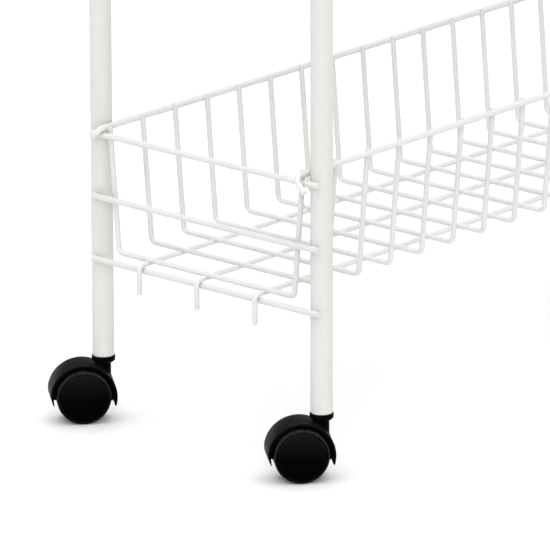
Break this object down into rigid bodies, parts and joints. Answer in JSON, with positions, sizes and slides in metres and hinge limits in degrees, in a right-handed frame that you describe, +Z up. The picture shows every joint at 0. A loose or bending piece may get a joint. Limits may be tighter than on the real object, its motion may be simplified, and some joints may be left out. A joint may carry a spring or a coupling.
{
  "type": "rolling pantry cart",
  "caption": "Slim white wire pantry cart: tubular end frames with arched handles, stacked hook-on wire baskets, and black hooded twin-wheel swivel casters.",
  "frame": {"origin": "on the floor, under the middle of the cart", "axes": "+X from the front end to the rear end of the cart, +Y to its left side, +Z up"},
  "size_m": [0.6656, 0.2808, 0.8229],
  "materials": {
    "white_tube": "white powder coat on steel tube, satin",
    "white_wire": "white powder coat on steel wire, satin",
    "black_moulding": "moulded nylon, fine satin grain",
    "black_wheel": "moulded nylon wheel, semi-gloss",
    "steel": "zinc-plated steel pin"
  },
  "bodies": {
    "cart_frame": {"front_handle": "white_tube", "front_left_caster_stem": "steel", "front_left_post": "white_tube", "front_left_stem_socket": "black_moulding", "front_lower_bottom_end_wire": "white_wire", "front_lower_middle_end_wire": "white_wire", "front_lower_top_end_wire": "white_wire", "front_middle_bottom_end_wire": "white_wire", "front_middle_middle_end_wire": "white_wire", "front_middle_top_end_wire": "white_wire", "front_right_caster_stem": "steel", "front_right_post": "white_tube", "front_right_stem_socket": "black_moulding", "front_upper_bottom_end_wire": "white_wire", "front_upper_middle_end_wire": "white_wire", "front_upper_top_end_wire": "white_wire", "lower_basket": "white_wire", "middle_basket": "white_wire", "rear_handle": "white_tube", "rear_left_caster_stem": "steel", "rear_left_post": "white_tube", "rear_left_stem_socket": "black_moulding", "rear_lower_bottom_end_wire": "white_wire", "rear_lower_middle_end_wire": "white_wire", "rear_lower_top_end_wire": "white_wire", "rear_middle_bottom_end_wire": "white_wire", "rear_middle_middle_end_wire": "white_wire", "rear_middle_top_end_wire": "white_wire", "rear_right_caster_stem": "steel", "rear_right_post": "white_tube", "rear_right_stem_socket": "black_moulding", "rear_upper_bottom_end_wire": "white_wire", "rear_upper_middle_end_wire": "white_wire", "rear_upper_top_end_wire": "white_wire", "upper_basket": "white_wire"},
    "front_left_caster_fork": {"front_left_caster_hood": "black_moulding", "front_left_caster_axle": "steel"},
    "front_left_caster_left_wheel_set": {"front_left_caster_left_wheel": "black_wheel", "front_left_caster_left_cap": "black_wheel"},
    "front_left_caster_right_wheel_set": {"front_left_caster_right_wheel": "black_wheel", "front_left_caster_right_cap": "black_wheel"},
    "front_right_caster_fork": {"front_right_caster_hood": "black_moulding", "front_right_caster_axle": "steel"},
    "front_right_caster_left_wheel_set": {"front_right_caster_left_wheel": "black_wheel", "front_right_caster_left_cap": "black_wheel"},
    "front_right_caster_right_wheel_set": {"front_right_caster_right_wheel": "black_wheel", "front_right_caster_right_cap": "black_wheel"},
    "rear_left_caster_fork": {"rear_left_caster_hood": "black_moulding", "rear_left_caster_axle": "steel"},
    "rear_left_caster_left_wheel_set": {"rear_left_caster_left_wheel": "black_wheel", "rear_left_caster_left_cap": "black_wheel"},
    "rear_left_caster_right_wheel_set": {"rear_left_caster_right_wheel": "black_wheel", "rear_left_caster_right_cap": "black_wheel"},
    "rear_right_caster_fork": {"rear_right_caster_hood": "black_moulding", "rear_right_caster_axle": "steel"},
    "rear_right_caster_left_wheel_set": {"rear_right_caster_left_wheel": "black_wheel", "rear_right_caster_left_cap": "black_wheel"},
    "rear_right_caster_right_wheel_set": {"rear_right_caster_right_wheel": "black_wheel", "rear_right_caster_right_cap": "black_wheel"}
  },
  "joints": [
    {"name": "front_left_swivel", "type": "hinge", "parent": "cart_frame", "child": "front_left_caster_fork", "pos_m": [-0.2945, 0.1045, 0.041], "axis": [0, 0, 1], "continuous": true},
    {"name": "front_left_left_wheel_roll", "type": "hinge", "parent": "front_left_caster_fork", "child": "front_left_caster_left_wheel_set", "pos_m": [-0.30617, 0.11486, 0.02], "axis": [-0.6639, -0.7478, 0], "continuous": true},
    {"name": "front_left_right_wheel_roll", "type": "hinge", "parent": "front_left_caster_fork", "child": "front_left_caster_right_wheel_set", "pos_m": [-0.30617, 0.11486, 0.02], "axis": [-0.6639, -0.7478, 0], "continuous": true},
    {"name": "front_right_swivel", "type": "hinge", "parent": "cart_frame", "child": "front_right_caster_fork", "pos_m": [-0.2945, -0.1045, 0.041], "axis": [0, 0, 1], "continuous": true},
    {"name": "front_right_left_wheel_roll", "type": "hinge", "parent": "front_right_caster_fork", "child": "front_right_caster_left_wheel_set", "pos_m": [-0.30617, -0.09414, 0.02], "axis": [-0.6639, -0.7478, 0], "continuous": true},
    {"name": "front_right_right_wheel_roll", "type": "hinge", "parent": "front_right_caster_fork", "child": "front_right_caster_right_wheel_set", "pos_m": [-0.30617, -0.09414, 0.02], "axis": [-0.6639, -0.7478, 0], "continuous": true},
    {"name": "rear_left_swivel", "type": "hinge", "parent": "cart_frame", "child": "rear_left_caster_fork", "pos_m": [0.2945, 0.1045, 0.041], "axis": [0, 0, 1], "continuous": true},
    {"name": "rear_left_left_wheel_roll", "type": "hinge", "parent": "rear_left_caster_fork", "child": "rear_left_caster_left_wheel_set", "pos_m": [0.30617, 0.09414, 0.02], "axis": [0.6639, 0.7478, 0], "continuous": true},
    {"name": "rear_left_right_wheel_roll", "type": "hinge", "parent": "rear_left_caster_fork", "child": "rear_left_caster_right_wheel_set", "pos_m": [0.30617, 0.09414, 0.02], "axis": [0.6639, 0.7478, 0], "continuous": true},
    {"name": "rear_right_swivel", "type": "hinge", "parent": "cart_frame", "child": "rear_right_caster_fork", "pos_m": [0.2945, -0.1045, 0.041], "axis": [0, 0, 1], "continuous": true},
    {"name": "rear_right_left_wheel_roll", "type": "hinge", "parent": "rear_right_caster_fork", "child": "rear_right_caster_left_wheel_set", "pos_m": [0.30617, -0.11486, 0.02], "axis": [0.6639, 0.7478, 0], "continuous": true},
    {"name": "rear_right_right_wheel_roll", "type": "hinge", "parent": "rear_right_caster_fork", "child": "rear_right_caster_right_wheel_set", "pos_m": [0.30617, -0.11486, 0.02], "axis": [0.6639, 0.7478, 0], "continuous": true}
  ]
}
